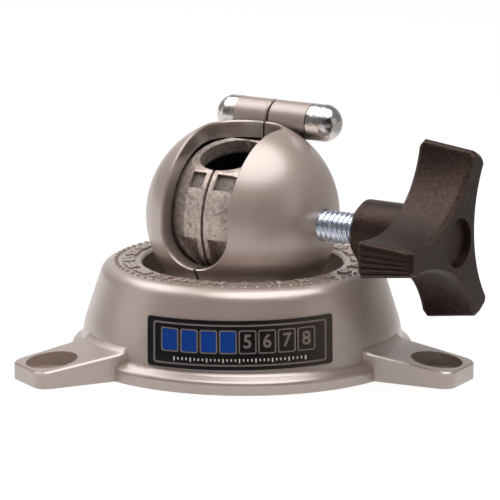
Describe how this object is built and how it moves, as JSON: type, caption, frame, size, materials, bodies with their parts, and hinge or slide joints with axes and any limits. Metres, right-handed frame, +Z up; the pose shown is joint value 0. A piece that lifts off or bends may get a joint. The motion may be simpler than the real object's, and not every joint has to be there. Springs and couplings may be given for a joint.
{
  "type": "ball vise base",
  "caption": "Low round bench base with lugs, holding a split ball that tilts and turns a clamped stem, locked by a star knob on a threaded stud.",
  "frame": {"origin": "centre of the bolt circle on the underside of the base", "axes": "+Z up out of the bench, +Y to the lug at the back, viewer at -Y"},
  "size_m": [0.1162, 0.1156, 0.0633],
  "materials": {
    "cast_paint": "satin metallic paint",
    "ball_paint": "satin metallic paint",
    "plate_film": "dark satin film",
    "chrome_plate": "bright plated",
    "raw_casting": "raw cast, dull grey",
    "brass_pad": "turned",
    "zinc_stud": "bright zinc plated",
    "knob_plastic": "satin moulded plastic"
  },
  "bodies": {
    "base": {"base_casting": "cast_paint", "name_plate": "plate_film"},
    "ball_left": {"ball_half_left": "ball_paint", "tie_nut": "chrome_plate", "tie_screw": "chrome_plate"},
    "ball_right": {"ball_half_right": "ball_paint"},
    "core_left": {"core_half_left": "raw_casting"},
    "core_right": {"core_half_right": "raw_casting"},
    "thrust": {"thrust_pad": "brass_pad"},
    "knob": {"knob_stud": "zinc_stud", "knob": "knob_plastic"}
  },
  "joints": [
    {"name": "turn", "type": "hinge", "parent": "base", "child": "ball_left", "pos_m": [0, 0, 0.036], "axis": [0, 0, 1], "continuous": true},
    {"name": "spread", "type": "hinge", "parent": "ball_left", "child": "ball_right", "pos_m": [0.00859, 0.01273, 0.05851], "axis": [-0.5592, -0.829, 0], "range_deg": [-0.4, 0.25]},
    {"name": "tilt", "type": "hinge", "parent": "ball_left", "child": "core_left", "pos_m": [0, 0, 0.036], "axis": [0.829, -0.5592, 0], "range_deg": [-19, 72]},
    {"name": "core_clamp", "type": "slide", "parent": "core_left", "child": "core_right", "axis": [-0.829, 0.5592, 0], "range_m": [0, 0.0006]},
    {"name": "screw_travel", "type": "slide", "parent": "ball_right", "child": "thrust", "axis": [-0.829, 0.5592, 0], "range_m": [-0.00423, 0.00035]},
    {"name": "knob_turn", "type": "hinge", "parent": "thrust", "child": "knob", "pos_m": [0.02985, -0.02013, 0.036], "axis": [-0.829, 0.5592, 0], "range_deg": [-1083, 91]}
  ],
  "couplings": [
    {"joint": "knob_turn", "follows": "screw_travel", "rad_per_m": 4453}
  ]
}
